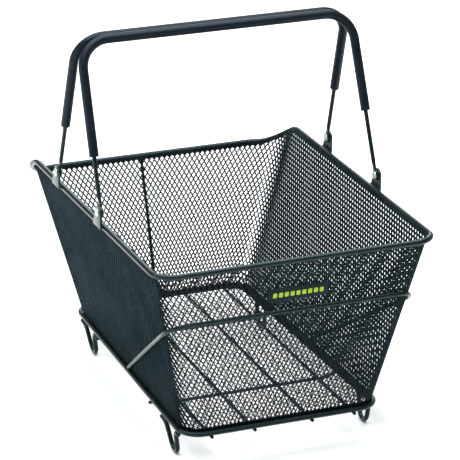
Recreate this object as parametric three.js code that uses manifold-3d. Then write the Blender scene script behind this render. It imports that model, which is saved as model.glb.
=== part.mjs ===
// A carrier basket of expanded metal mesh on a welded wire frame. It stands on four wire feet that
// hook over the tubes of a rack, and two carrying handles swing on rivets through brackets on the
// side rims. Millimetres: +X right, +Y from the near wall to the far wall, +Z up. The pieces are laid
// out from the near rim's centreline (y = 0) and the base wire's centreline (z = 0); the last lines
// move the whole basket so that its origin is the middle of its footprint.

import * as THREE from 'three';
import { mergeVertices } from 'three/addons/utils/BufferGeometryUtils.js';
import Module from 'manifold-3d';

const wasm = await Module();
wasm.setup();

// ---- Driving dimensions ----

const GAP = 0.3; // air left between pieces that touch

const RIM_WIRE = 6.5; // diameter of the top loop's wire
const RIM_WIDTH_NEAR = 330; // between the side rims' centrelines, at the near end
const RIM_WIDTH_FAR = 338;
const RIM_LENGTH = 471; // from the near rim's centreline to the far rim's
const RIM_CORNER_NEAR = 24;
const RIM_CORNER_FAR = 43;
const RIM_HEIGHT = 211.4; // rim centreline above the base wire's centreline
const FAR_RIM_DROP = 30.5; // how much lower the far rim lies
const DROP_START_Y = RIM_LENGTH - 65; // where the side rims begin to come down
const DROP_RUN = 76; // length of wire over which they come down to the far rim

const BASE_WIRE = 5.8; // diameter of the bottom loop's wire
const BASE_WIDTH_NEAR = 240;
const BASE_WIDTH_FAR = 224;
const BASE_SET_BACK = 43; // the base loop's near side behind the near rim
const BASE_LENGTH = 408;
const BASE_CORNER = 26;

const SHEET = 1.4; // thickness of the expanded mesh
const HEM = 6; // height of the floor sheet's turned-up edge

const GUARD_WIRE = 5;
const GUARD_HEIGHT = 147; // on the near wall
const GUARD_END_Y = 239; // where it comes down on the side rails
const GUARD_BEND = 34;
const GUARD_STANDOFF = 1.2; // it touches the walls only at its welds

const FLOOR_WIRE = 4;
const FLOOR_WIRE_X = [-87, -35, 35, 87];
const FLOOR_WIRE_END = -1.5; // how far the ends stand out past the base wire's outer side
const CROSS_WIRE_Y = { near: 157, far: 356 };
const CROSS_WIRE_END = 0.8;
const CROSS_WIRE_STEP = 14; // length of the cranked stretch at each end

const FOOT_WIRE = 5.5;
const FOOT_DEPTH = 33.5; // foot wire's lowest centreline below the base wire's
const FOOT_Y = { near: 63, far: 364 }; // the foot's near end
const FOOT_LEAN = 0.12; // inward run for each unit down
const FOOT_LEG_NEAR = 11; // from the foot's near end to its upright leg
const FOOT_BOTTOM = 17; // along the underside, before its corners are rounded
const FOOT_SLANT = 14; // run of the sloping leg
const FOOT_TAIL = 14; // straight end along the rail

const PIVOT_HEIGHT = 17.5; // above the rim's centreline
const PIVOT_Y = { near: 175.8, far: 321 };
const BRACKET = { thickness: 2.5, topRadius: 8, baseWidth: 27, below: 1 };
const RIVET = { shank: 5, head: 9.6, domeHeight: 2.2, clearance: 0.1 };

const HANDLE_WIRE = 5;
const HANDLE_WIDTH = 331; // between the legs' centrelines at the crossbar
const HANDLE_TOP = 195.6; // crossbar centreline above the rim's centreline
const CROSSBAR_MID_Y = 254; // the two crossbars rest side by side about this line
const HANDLE_BEND = 33;
const EYELET = { radius: 6.4, thickness: 2.4, neck: 14, neckWidth: 6.4, wireStart: 11.5 };
const GRIP_DIAMETER = 11;
const CROSSBAR_SPACING = GRIP_DIAMETER + 1; // the grips rest 1 mm apart
const GRIP_START = { near: { left: 62, right: 76 }, far: { left: 67, right: 74 } }; // from the pivots

const BADGE = { width: 72, height: 17, thickness: 1.8, corner: 3, belowRim: 43.5 };
const BADGE_MARK = { width: 60, height: 5, thickness: 0.6 };
const BADGE_SHIFT = 2; // to the right of the middle
const BADGE_BACKING = { width: 60, height: 12, thickness: 1.2 };

const CORNER_STEPS = 6; // straight pieces that stand for a loop's rounded corner
const SIDE_CUTS = [0.25, 0.5, 0.75, 0.93, 0.955, 0.98]; // where a long side is cut, from its near end
const END_CUTS = [0.25, 0.5, 0.75]; // where the far side is cut
const WIRE_SIDES = 8; // sides of a wire's section

// ---- Finishes ----

const finish = (colour, roughness, metalness) =>
  new THREE.MeshStandardMaterial({ color: colour, roughness, metalness });
const blackPowderCoat = finish(0x1a2124, 0.42, 0.35);
const blackRubber = finish(0x1d242c, 0.55, 0);
const bareSteel = finish(0xb9bcb8, 0.3, 0.9);
const blackPlastic = finish(0x14171a, 0.5, 0);
const limeInk = finish(0xa8c820, 0.5, 0);

// ---- Tools for shapes ----

const v3 = (x, y, z) => new THREE.Vector3(x, y, z);
const lerp = THREE.MathUtils.lerp;

// A wire's centreline as short straight pieces, so that a sweep has its sections exactly at the
// points that are given. At each point the section faces halfway between the pieces it joins.
class WireLine extends THREE.Curve {
  constructor(points, closed = false) {
    super();
    this.points = closed ? [...points, points[0]] : points;
    this.closed = closed;
  }

  getPoint(t) {
    const last = this.points.length - 1;
    const piece = Math.min(Math.floor(t * last), last - 1);
    return this.points[piece].clone().lerp(this.points[piece + 1], t * last - piece);
  }

  getPointAt(u) {
    return this.getPoint(u);
  }

  getTangentAt(u) {
    const last = this.points.length - 1;
    const at = Math.round(u * last);
    const direction = (i) => this.points[i + 1].clone().sub(this.points[i]).normalize();
    const wrap = (i) => (this.closed ? (i + last) % last : THREE.MathUtils.clamp(i, 0, last - 1));
    return direction(wrap(at - 1)).add(direction(wrap(at))).normalize();
  }
}

// Rounds the corners of an open line; each corner is [point, radius], and its arc is cut into
// pieces of about 15 degrees.
function roundedLine(corners) {
  const points = [corners[0][0]];
  for (let i = 1; i < corners.length - 1; i++) {
    const [corner, radius] = corners[i];
    const back = corners[i - 1][0].clone().sub(corner).normalize();
    const on = corners[i + 1][0].clone().sub(corner).normalize();
    const turn = Math.PI - back.angleTo(on);
    const setBack = radius * Math.tan(turn / 2);
    const centre = corner.clone().add(
      back.clone().add(on).normalize().multiplyScalar(radius / Math.cos(turn / 2)));
    const start = corner.clone().addScaledVector(back, setBack).sub(centre);
    const axis = back.clone().cross(on).normalize().negate();
    const steps = Math.max(2, Math.round(turn / (Math.PI / 12)));
    for (let k = 0; k <= steps; k++) {
      points.push(start.clone().applyAxisAngle(axis, (turn * k) / steps).add(centre));
    }
  }
  points.push(corners[corners.length - 1][0]);
  return points;
}

function regularSection(radius, hole = 0) {
  const ring = (r) => Array.from({ length: WIRE_SIDES }, (_, k) => {
    const angle = (2 * Math.PI * (k + 0.5)) / WIRE_SIDES;
    return new THREE.Vector2(r * Math.cos(angle), r * Math.sin(angle));
  });
  const shape = new THREE.Shape(ring(radius));
  if (hole > 0) shape.holes.push(new THREE.Path(ring(hole)));
  return shape;
}

function sweep(points, diameter, holeDiameter = 0) {
  return new THREE.ExtrudeGeometry(regularSection(diameter / 2, holeDiameter / 2), {
    extrudePath: new WireLine(points), steps: points.length - 1 });
}

const sweepLoop = (points, diameter) =>
  new THREE.TubeGeometry(new WireLine(points, true), points.length, diameter / 2, WIRE_SIDES, true);

function solidOf(geometry) {
  const bare = geometry.index ? geometry.toNonIndexed() : geometry.clone();
  bare.deleteAttribute('normal');
  bare.deleteAttribute('uv');
  const merged = mergeVertices(bare, 1e-4);
  return new wasm.Manifold(new wasm.Mesh({
    numProp: 3,
    vertProperties: merged.attributes.position.array,
    triVerts: new Uint32Array(merged.index.array),
  }));
}

function geometryOf(solid) {
  const { numProp, vertProperties, triVerts } = solid.getMesh();
  const positions = new Float32Array(triVerts.length * 3);
  triVerts.forEach((vertex, i) => {
    positions.set(vertProperties.subarray(vertex * numProp, vertex * numProp + 3), 3 * i);
  });
  const geometry = new THREE.BufferGeometry();
  geometry.setAttribute('position', new THREE.BufferAttribute(positions, 3));
  geometry.computeVertexNormals();
  return geometry;
}

// ---- The basket's walls ----

// The sizes of a level cut through the walls, at a height above the base wire and a distance
// outside the line that joins the two loops' centrelines.
function levelCut(height, outset) {
  const rise = height / RIM_HEIGHT;
  return {
    halfNear: lerp(BASE_WIDTH_NEAR, RIM_WIDTH_NEAR, rise) / 2 + outset,
    halfFar: lerp(BASE_WIDTH_FAR, RIM_WIDTH_FAR, rise) / 2 + outset,
    near: lerp(BASE_SET_BACK, 0, rise) - outset,
    far: lerp(BASE_SET_BACK + BASE_LENGTH, RIM_LENGTH, rise) + outset,
    cornerNear: lerp(BASE_CORNER, RIM_CORNER_NEAR, rise) + outset,
    cornerFar: lerp(BASE_CORNER, RIM_CORNER_FAR, rise) + outset,
  };
}

// The outline of that cut as points, counter-clockwise from the middle of the near side. Every cut
// has the same number of points, so points with the same number lie above each other.
function levelLoop(height, outset) {
  const { halfNear, halfFar, near, far, cornerNear, cornerFar } = levelCut(height, outset);
  const middle = v3(0, near, height);
  const corners = [[v3(halfNear, near, height), cornerNear], [v3(halfFar, far, height), cornerFar],
    [v3(-halfFar, far, height), cornerFar], [v3(-halfNear, near, height), cornerNear]];
  const cuts = [[0.5], SIDE_CUTS, END_CUTS, SIDE_CUTS.map((cut) => 1 - cut).reverse()];
  const points = [middle];
  corners.forEach(([corner, radius], i) => {
    const before = i > 0 ? corners[i - 1][0] : middle;
    const after = i < 3 ? corners[i + 1][0] : middle;
    const arc = cornerArc(before, corner, after, radius);
    const from = points[points.length - 1];
    cuts[i].forEach((cut) => points.push(from.clone().lerp(arc[0], cut)));
    points.push(...arc);
  });
  points.push(points[points.length - 1].clone().lerp(middle, 0.5));
  return points;
}

// A level, counter-clockwise arc in place of a corner, as CORNER_STEPS pieces.
function cornerArc(before, corner, after, radius) {
  const back = before.clone().sub(corner).normalize();
  const on = after.clone().sub(corner).normalize();
  const turn = Math.PI - back.angleTo(on);
  const centre = corner.clone().add(
    back.clone().add(on).normalize().multiplyScalar(radius / Math.cos(turn / 2)));
  const start = corner.clone().addScaledVector(back, radius * Math.tan(turn / 2)).sub(centre);
  return Array.from({ length: CORNER_STEPS + 1 }, (_, k) => start.clone()
    .applyAxisAngle(v3(0, 0, 1), (turn * k) / CORNER_STEPS).add(centre));
}

// How far the rim has come down at a point of its outline: a smooth step, by the length of wire
// from where a side rim begins to come down, round the far corner to the far rim.
function rimDrop(point, outset) {
  const { halfFar, far, cornerFar } = levelCut(RIM_HEIGHT, outset);
  const arcStart = far - cornerFar;
  const turn = Math.atan2(point.y - arcStart, Math.abs(point.x) - (halfFar - cornerFar));
  const along = Math.min(point.y, arcStart) - DROP_START_Y
    + cornerFar * THREE.MathUtils.clamp(point.y > arcStart ? turn : 0, 0, Math.PI / 2)
    + (point.y > arcStart ? Math.max(halfFar - cornerFar - Math.abs(point.x), 0) : 0);
  return FAR_RIM_DROP * THREE.MathUtils.smoothstep(along, 0, DROP_RUN);
}

function rimLoop(outset) {
  const points = levelLoop(RIM_HEIGHT, outset);
  points.forEach((point) => { point.z -= rimDrop(point, outset); });
  return points;
}

const sideRimX = (y) => lerp(RIM_WIDTH_NEAR, RIM_WIDTH_FAR, y / RIM_LENGTH) / 2;
const sideRailX = (y) => lerp(BASE_WIDTH_NEAR, BASE_WIDTH_FAR, (y - BASE_SET_BACK) / BASE_LENGTH) / 2;

// A closed skin between loops that are given in order round its section.
function ringSkin(loops) {
  const count = loops[0].length;
  const positions = [];
  const corner = (loop, i) => loops[loop % loops.length][i % count];
  for (let loop = 0; loop < loops.length; loop++) {
    for (let i = 0; i < count; i++) {
      const [a, b] = [corner(loop, i), corner(loop, i + 1)];
      const [c, d] = [corner(loop + 1, i), corner(loop + 1, i + 1)];
      [a, b, d, a, d, c].forEach((p) => positions.push(p.x, p.y, p.z));
    }
  }
  const geometry = new THREE.BufferGeometry();
  geometry.setAttribute('position', new THREE.Float32BufferAttribute(positions, 3));
  geometry.computeVertexNormals();
  return geometry;
}

// ---- Pieces ----

const basket = new THREE.Group();

function add(name, geometry, material) {
  const mesh = new THREE.Mesh(geometry, material);
  mesh.name = name;
  basket.add(mesh);
  return mesh;
}

const sides = [['left', -1], ['right', 1]];
const ends = ['near', 'far'];

// Frame loops
add('rim_wire', sweepLoop(rimLoop(0), RIM_WIRE), blackPowderCoat);
add('base_wire', sweepLoop(levelLoop(0, 0), BASE_WIRE), blackPowderCoat);

// Mesh walls: one sheet bent round the four sides, welded inside both loops.
const sheetInset = RIM_WIRE / 2 + GAP + SHEET / 2;
const wallFoot = -BASE_WIRE / 4;

function wallSkin() {
  const [outer, inner] = [-sheetInset + SHEET / 2, -sheetInset - SHEET / 2];
  const lowered = (outset) => levelLoop(wallFoot, outset);
  return ringSkin([lowered(inner), lowered(outer), rimLoop(outer), rimLoop(inner)]);
}
add('wall_mesh', wallSkin(), blackPowderCoat);

// Mesh floor: a flat sheet that lies on the floor wires, with its edge turned up inside the walls.
const floorWireZ = -(BASE_WIRE + FLOOR_WIRE) / 2 - GAP;
const floorUnder = floorWireZ + FLOOR_WIRE / 2 + GAP;

function floorPan() {
  const outer = -sheetInset - SHEET / 2 - GAP;
  const inner = outer - SHEET;
  const lip = ringSkin([levelLoop(floorUnder, inner), levelLoop(floorUnder, outer),
    levelLoop(HEM, outer), levelLoop(HEM, inner)]);
  const outline = levelLoop(floorUnder, (outer + inner) / 2);
  const plate = new THREE.ExtrudeGeometry(
    new THREE.Shape(outline.map((p) => new THREE.Vector2(p.x, p.y))),
    { depth: SHEET, bevelEnabled: false });
  plate.translate(0, 0, floorUnder);
  return geometryOf(solidOf(plate).add(solidOf(lip)));
}
add('floor_mesh', floorPan(), blackPowderCoat);

// Guard wire: level across the near wall, then round the near corners and down to the side rails.
// It follows the wall's outside: a point is given by its distance from the middle of the near wall,
// measured round the wall, and by its height.
const guardOutset = -sheetInset + SHEET / 2 + GUARD_STANDOFF + GUARD_WIRE / 2;

function onWall(distance, height) {
  const { halfNear, halfFar, near, far, cornerNear } = levelCut(height, guardOutset);
  const flat = halfNear - cornerNear;
  if (distance <= flat) return v3(distance, near, height);
  const arc = (cornerNear * Math.PI) / 2;
  if (distance <= flat + arc) {
    const turn = (distance - flat) / cornerNear;
    return v3(flat + cornerNear * Math.sin(turn), near + cornerNear * (1 - Math.cos(turn)), height);
  }
  const y = near + cornerNear + distance - flat - arc;
  return v3(lerp(halfNear, halfFar, (y - near) / (far - near)), y, height);
}

function guardLine() {
  const endHeight = BASE_WIRE / 2 + GAP + GUARD_WIRE / 2 - 0.5;
  const { halfNear, near, cornerNear } = levelCut(endHeight, guardOutset);
  const cornerSaving = cornerNear * (2 - Math.PI / 2);
  const endDistance = halfNear + GUARD_END_Y - near - cornerSaving;
  const turnDistance = levelCut(GUARD_HEIGHT, 0).halfNear - 14;
  const unrolled = roundedLine([[v3(0, GUARD_HEIGHT, 0), 0],
    [v3(turnDistance, GUARD_HEIGHT, 0), GUARD_BEND], [v3(endDistance, endHeight, 0), 0]]);
  const pieces = [];
  for (let i = 0; i + 1 < unrolled.length; i++) {
    const count = Math.max(1, Math.round(unrolled[i].distanceTo(unrolled[i + 1]) / 8));
    for (let k = 0; k < count; k++) pieces.push(unrolled[i].clone().lerp(unrolled[i + 1], k / count));
  }
  pieces.push(unrolled[unrolled.length - 1]);
  const right = pieces.map((p) => onWall(p.x, p.y));
  const left = right.slice(1).map((p) => v3(-p.x, p.y, p.z)).reverse();
  return [...left, ...right];
}
add('guard_wire', sweep(guardLine(), GUARD_WIRE), blackPowderCoat);

// Floor wires: four straight ones under the base loop's near and far sides.
FLOOR_WIRE_X.forEach((x, i) => {
  const reach = BASE_WIRE / 2 + FLOOR_WIRE_END;
  const from = BASE_SET_BACK - reach;
  const to = BASE_SET_BACK + BASE_LENGTH + reach;
  add(`floor_wire_${i + 1}`, sweep([v3(x, from, floorWireZ), v3(x, to, floorWireZ)], FLOOR_WIRE),
    blackPowderCoat);
});

// Cross wires: under the side rails at their ends, and cranked down to pass under the floor wires.
const crossWireZ = floorWireZ - FLOOR_WIRE - GAP;
ends.forEach((end) => {
  const y = CROSS_WIRE_Y[end];
  const tip = sideRailX(y) + BASE_WIRE / 2 + CROSS_WIRE_END;
  const crankOut = sideRailX(y) - BASE_WIRE;
  const crankIn = crankOut - CROSS_WIRE_STEP;
  const bend = 8;
  const half = [[v3(crankIn, y, crossWireZ), bend], [v3(crankOut, y, floorWireZ), bend]];
  const mirrored = half.map(([p, r]) => [v3(-p.x, p.y, p.z), r]).reverse();
  const line = roundedLine([[v3(-tip, y, floorWireZ), 0], ...mirrored, ...half,
    [v3(tip, y, floorWireZ), 0]]);
  add(`cross_wire_${end}`, sweep(line, FLOOR_WIRE), blackPowderCoat);
});

// Feet: a wire loop under each end of each side rail, with its ends along the rail. Each leans
// inwards by a shear, which keeps its flat underside level.
function foot(y, side) {
  const top = -(BASE_WIRE + FOOT_WIRE) / 2 - GAP;
  const legY = y + FOOT_LEG_NEAR;
  const slantY = legY + FOOT_BOTTOM;
  const tailY = slantY + FOOT_SLANT;
  const line = roundedLine([[v3(0, y, top), 0], [v3(0, legY, top), 6], [v3(0, legY, -FOOT_DEPTH), 9],
    [v3(0, slantY, -FOOT_DEPTH), 10], [v3(0, tailY, top), 12], [v3(0, tailY + FOOT_TAIL, top), 0]]);
  const geometry = sweep(line, FOOT_WIRE);
  const lean = new THREE.Matrix4().makeShear(0, 0, 0, 0, side * FOOT_LEAN, 0);
  geometry.translate(0, 0, -top).applyMatrix4(lean).translate(0, 0, top);
  return geometry.translate(side * sideRailX(y + FOOT_LEG_NEAR), 0, 0);
}
ends.forEach((end) => {
  sides.forEach(([name, side]) => {
    add(`foot_${end}_${name}`, foot(FOOT_Y[end], side), blackPowderCoat);
  });
});

// Brackets: upright tabs welded outside the side rims, wide at the rim and round at the top.
const pivotZ = RIM_HEIGHT + PIVOT_HEIGHT;
const tabInside = (end) => sideRimX(PIVOT_Y[end] + BRACKET.baseWidth - BRACKET.topRadius)
  + RIM_WIRE / 2 + GAP;
const eyeletMiddle = (end) => tabInside(end) - GAP - EYELET.thickness / 2;

const sideways = (geometry) => geometry.applyMatrix4(
  new THREE.Matrix4().makeBasis(v3(0, 1, 0), v3(0, 0, 1), v3(1, 0, 0)));

const rivetHole = () =>
  new THREE.Path().absarc(0, 0, RIVET.shank / 2 + RIVET.clearance, 0, 2 * Math.PI, true);

// A tab with its pivot hole at the origin: its near edge upright, its far edge sloping out to the
// foot of the tab.
function bracketTab() {
  const { topRadius, baseWidth, below, thickness } = BRACKET;
  const low = -(PIVOT_HEIGHT + below);
  const toe = baseWidth - topRadius;
  const slope = Math.atan2(low, toe) + Math.acos(topRadius / Math.hypot(toe, low));
  const shape = new THREE.Shape();
  shape.moveTo(-topRadius, low);
  shape.lineTo(toe, low);
  shape.absarc(0, 0, topRadius, slope, Math.PI, false);
  shape.holes.push(rivetHole());
  return sideways(new THREE.ExtrudeGeometry(shape, { depth: thickness, bevelEnabled: false,
    curveSegments: 7 }));
}

// Rivets: a shank through the eyelet and the tab, with a domed head at each end.
function rivet() {
  const grip = EYELET.thickness + BRACKET.thickness + 3 * GAP;
  const dome = (from, to) => Array.from({ length: 5 }, (_, k) => {
    const angle = lerp(from, to, k / 4);
    return new THREE.Vector2((RIVET.head / 2) * Math.cos(angle), RIVET.domeHeight * Math.sin(angle));
  });
  const profile = [
    ...dome(-Math.PI / 2, 0),
    new THREE.Vector2(RIVET.shank / 2, 0), new THREE.Vector2(RIVET.shank / 2, grip),
    ...dome(0, Math.PI / 2).map((p) => p.add(new THREE.Vector2(0, grip))),
  ];
  profile[0].x = 0;
  profile[profile.length - 1].x = 0;
  return new THREE.LatheGeometry(profile, 16).rotateZ(-Math.PI / 2);
}

ends.forEach((end) => {
  sides.forEach(([name, side]) => {
    const tab = add(`bracket_${end}_${name}`, bracketTab(), blackPowderCoat);
    const tabX = side > 0 ? tabInside(end) : -tabInside(end) - BRACKET.thickness;
    tab.position.set(tabX, PIVOT_Y[end], pivotZ);
    const pin = add(`rivet_${end}_${name}`, rivet(), bareSteel);
    const innerHead = eyeletMiddle(end) - EYELET.thickness / 2 - GAP;
    pin.rotation.y = side > 0 ? 0 : Math.PI;
    pin.position.set(side * innerHead, PIVOT_Y[end], pivotZ);
  });
});

// Handles: a wire bent to a wide U, its ends flattened to eyelets, and a rubber grip round its
// crossbar, bends and upper legs.
function handleLine(end, start) {
  const away = end === 'near' ? -1 : 1;
  const topY = CROSSBAR_MID_Y + (away * CROSSBAR_SPACING) / 2;
  const leg = (side, fromPivot) => {
    const pivot = v3(side * eyeletMiddle(end), PIVOT_Y[end], pivotZ);
    const top = v3((side * HANDLE_WIDTH) / 2, topY, RIM_HEIGHT + HANDLE_TOP);
    const along = top.clone().sub(pivot).normalize();
    return [[pivot.addScaledVector(along, fromPivot), 0], [top, HANDLE_BEND]];
  };
  return roundedLine([...leg(-1, start.left), ...leg(1, start.right).reverse()]);
}

const handleLean = (end) => {
  const [pivot, up] = handleLine(end, { left: 0, right: 0 });
  return Math.atan2(up.y - pivot.y, up.z - pivot.z);
};

// An eyelet and its flat neck, which points along +Z until it is leaned over.
function eyelet() {
  const { radius, thickness, neck, neckWidth } = EYELET;
  const side = Math.asin(neckWidth / 2 / radius);
  const shape = new THREE.Shape();
  shape.moveTo(neckWidth / 2, neck);
  shape.lineTo(-neckWidth / 2, neck);
  shape.absarc(0, 0, radius, Math.PI / 2 + side, 2.5 * Math.PI - side, false);
  shape.holes.push(rivetHole());
  return sideways(new THREE.ExtrudeGeometry(shape, { depth: thickness, bevelEnabled: false,
    curveSegments: 9 })).translate(-thickness / 2, 0, 0);
}

function handleWire(end) {
  const lean = handleLean(end);
  const { wireStart } = EYELET;
  let solid = solidOf(sweep(handleLine(end, { left: wireStart, right: wireStart }), HANDLE_WIRE));
  sides.forEach(([, side]) => {
    const ring = eyelet().rotateX(-lean)
      .translate(side * eyeletMiddle(end), PIVOT_Y[end], pivotZ);
    solid = solid.add(solidOf(ring));
  });
  return geometryOf(solid);
}

ends.forEach((end) => {
  add(`handle_wire_${end}`, handleWire(end), blackPowderCoat);
  add(`grip_${end}`, sweep(handleLine(end, GRIP_START[end]), GRIP_DIAMETER, HANDLE_WIRE + 4 * GAP),
    blackRubber);
});

// Badge: a plain plate outside the near wall with a raised stripe, and a backing plate inside the
// wall that holds it to the mesh.
const wallTilt = Math.atan2(BASE_SET_BACK, RIM_HEIGHT);

function roundedPlate({ width, height, thickness }, corner) {
  const [x, y] = [width / 2 - corner, height / 2 - corner];
  const shape = new THREE.Shape();
  shape.absarc(x, y, corner, 0, Math.PI / 2, false);
  shape.absarc(-x, y, corner, Math.PI / 2, Math.PI, false);
  shape.absarc(-x, -y, corner, Math.PI, 1.5 * Math.PI, false);
  shape.absarc(x, -y, corner, 1.5 * Math.PI, 2 * Math.PI, false);
  return new THREE.ExtrudeGeometry(shape, { depth: thickness, bevelEnabled: false, curveSegments: 5 });
}

// Turned so that +Z of the badge group points straight out of the near wall.
const badge = new THREE.Group();
badge.rotation.x = Math.PI / 2 + wallTilt;
badge.position.set(BADGE_SHIFT, BADGE.belowRim * Math.sin(wallTilt),
  RIM_HEIGHT - BADGE.belowRim * Math.cos(wallTilt));
const sheetFace = -sheetInset * Math.cos(wallTilt);
const sheetHalf = SHEET / 2 + GAP;
const plate = add('badge_plate', roundedPlate(BADGE, BADGE.corner), blackPlastic);
plate.position.z = sheetFace + sheetHalf;
const mark = add('badge_mark', roundedPlate(BADGE_MARK, BADGE_MARK.height / 2.01), limeInk);
mark.position.z = plate.position.z + BADGE.thickness + GAP;
const backing = add('badge_backing', roundedPlate(BADGE_BACKING, BADGE.corner), blackPlastic);
backing.position.z = sheetFace - sheetHalf - BADGE_BACKING.thickness;
badge.add(plate, mark, backing);
basket.add(badge);

// ---- Origin: the middle of the footprint, level with the feet's undersides ----

const extents = new THREE.Box3().setFromObject(basket, true);
basket.position.set(0, -(extents.min.y + extents.max.y) / 2, -extents.min.z);

const group = new THREE.Group();
group.add(basket);

export default group;
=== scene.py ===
# A carrier basket of expanded mesh on a wire frame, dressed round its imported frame.
# Lengths in the shapes below are millimetres in the basket's own layout: x from its middle, y from
# the near rim's centreline towards the far wall, z up from the base wire's centreline. The helper
# `put_in_scene` turns them into metres in the row frame.

import math

import bpy
import numpy as np
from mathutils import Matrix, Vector


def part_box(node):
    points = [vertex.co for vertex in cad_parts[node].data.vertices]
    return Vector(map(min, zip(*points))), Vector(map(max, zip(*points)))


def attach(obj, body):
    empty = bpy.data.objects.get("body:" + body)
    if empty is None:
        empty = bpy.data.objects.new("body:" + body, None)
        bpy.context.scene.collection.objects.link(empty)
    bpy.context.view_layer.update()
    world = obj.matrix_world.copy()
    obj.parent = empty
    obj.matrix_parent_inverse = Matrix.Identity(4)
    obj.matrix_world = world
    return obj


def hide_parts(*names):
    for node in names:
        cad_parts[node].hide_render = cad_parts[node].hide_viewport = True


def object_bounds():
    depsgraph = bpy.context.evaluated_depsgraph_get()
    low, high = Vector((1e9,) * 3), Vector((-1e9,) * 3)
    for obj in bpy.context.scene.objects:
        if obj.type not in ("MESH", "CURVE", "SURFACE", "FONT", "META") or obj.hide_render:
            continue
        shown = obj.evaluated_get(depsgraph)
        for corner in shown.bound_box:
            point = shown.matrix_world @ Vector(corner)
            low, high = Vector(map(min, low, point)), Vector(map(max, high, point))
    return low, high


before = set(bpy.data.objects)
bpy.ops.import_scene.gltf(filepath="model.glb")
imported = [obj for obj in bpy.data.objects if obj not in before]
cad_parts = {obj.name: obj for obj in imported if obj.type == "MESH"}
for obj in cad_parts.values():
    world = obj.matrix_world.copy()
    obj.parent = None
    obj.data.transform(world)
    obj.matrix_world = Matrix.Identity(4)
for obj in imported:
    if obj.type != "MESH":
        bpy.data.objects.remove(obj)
cad_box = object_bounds()

# ---- Sizes, the same as the frame's ----

RIM_WIRE = 6.5
RIM_WIDTH = (330.0, 338.0)  # near, far
RIM_LENGTH = 471.0
RIM_CORNER = (24.0, 43.0)  # near, far
RIM_HEIGHT = 211.4
RIM_DROP = 30.5
DROP_START = 406.0  # of wire, from the near rim's centreline
DROP_RUN = 76.0
BASE_WIRE = 5.8
BASE_WIDTH = (240.0, 224.0)  # near, far
BASE_NEAR = 43.0  # from the near rim's centreline
BASE_LENGTH = 408.0
BASE_CORNER = 26.0
GUARD_WIRE = 5.0
GUARD_HEIGHT = 147.0
GUARD_INSET = 1.0  # from the frame loops' centrelines in to the guard's
GUARD_TURN_INSET = 14.0  # from the side walls in to where the guard turns down
GUARD_END_Y = 239.0
GUARD_END_HEIGHT = 5.2
GUARD_BEND = 34.0
GUARD_STEP = 2.5  # between the points of its line
FLOOR_WIRE = 4.0
FLOOR_WIRE_X = (-87.0, -35.0, 35.0, 87.0)
FLOOR_WIRE_Z = -(BASE_WIRE + FLOOR_WIRE) / 2 - 0.1
FLOOR_WIRE_END = 1.4  # past the base loop's centreline
CROSS_WIRE_Y = {"near": 157.0, "far": 356.0}
CROSS_END = 0.8  # past the outside of the base loop
CROSS_STEP = 14.0
CROSS_BEND = 8.0
CUT_CHAMFER = 0.8  # on the cut ends of the rods and feet
FOOT_WIRE = 5.5
FOOT_DEPTH = 33.5
FOOT_Y = {"near": 63.0, "far": 364.0}
FOOT_TAB = (11.0, 14.0)  # lengths along the rail before the leg and after the slant
FOOT_BOTTOM = 17.0
FOOT_SLANT = 14.0
FOOT_BENDS = (6.0, 9.0, 10.0, 12.0)
FOOT_LEAN = 0.12
PIVOT_Z = RIM_HEIGHT + 17.5
PIVOT_Y = {"near": 175.8, "far": 321.0}
TAB_THICKNESS = 2.5
TAB_RADIUS = 8.0
TAB_DEPTH = 18.5  # from the pivot down to the tab's foot
TAB_TOE = 19.0  # from the pivot towards the far wall
TAB_GAP = 0.3  # between the rim wire and the tab
WELD_WIDTH = 2.4
WELD_OUT, WELD_UP = 3.1, 1.6  # from the rim's centreline
HANDLE_TOP_Z = RIM_HEIGHT + 195.6
HANDLE_TOP_Y = {"near": 248.0, "far": 260.0}
HANDLE_WIDTH = 331.0
HANDLE_BEND = 33.0
HANDLE_WIRE = 5.0
EYELET = 6.4  # radius of the flattened end
EYELET_HALF_THICK = 1.2
EYELET_GAP = 1.5  # from an eyelet's middle to the tab, and to the rivet's inner head
GRIP_RADIUS = 5.5
GRIP_START = {"near": (62.0, 76.0), "far": (67.0, 74.0)}  # from the left and right pivots
RIVET_SHANK = 2.5
RIVET_HEAD = 4.8
RIVET_DOME = 1.7
RIVET_GRIP = 2 * EYELET_GAP + TAB_THICKNESS + 0.3  # between the two heads
SIDES = (("left", -1.0), ("right", 1.0))
ENDS = ("near", "far")

# ---- Sizes of the mesh and the badge ----

COLUMNS = (46, 66, 46, 66)  # openings along the near, right, far and left stretches of wall
FAR_STRETCH = 2
STRAND = (1.45, 1.5, 2.05, 1.5)  # strand width in the near, right, far and left walls
SHEET = (1.3, 2.0, 1.3, 2.0)  # and depth
HALF_ROW = 5.2
CREST = 0.07  # of a row: how far a wave stops short of its row's edges
SHEET_INSET = 4.25  # from the frame loops' centrelines in to the middle of the mesh
STRANDS_FROM, STRAND_TOP = -1.5, 1.2  # from the base loop's and the rim's centrelines
HEM_DEPTH, HEM_SCALLOP, HEM_RISE, HEM_THICKNESS = 3.2, 1.3, 1.0, 0.9
SEAM_HALF, SEAM_SCALLOP, SEAM_HALF_THICK = 1.5, 0.9, 0.9
SEAM_INSET = SHEET_INSET + 0.6
SEAM_SHIFT = 1.57  # openings, from the far wall's middle
FLOOR_STRAND, FLOOR_SHEET = 1.2, 0.7  # strand width and depth in the floor
FLOOR_HALF_STEPS, FLOOR_HALF_ROW = 48, 8.0
FLOOR_INSET = SHEET_INSET + 2.0
FLOOR_MESH_Z = -2.2
LIP_INSET, LIP_THICKNESS = SHEET_INSET + 1.7, 1.3
LIP_HEIGHTS = (-2.6, 5.2)
BADGE_X = 2.0
BADGE_BELOW_RIM = 43.5
BADGE_SIZE, BADGE_THICKNESS = (72, 17), 1.8
BADGE_LIFT = 1.0  # from the middle of the mesh to the badge's back
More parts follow.
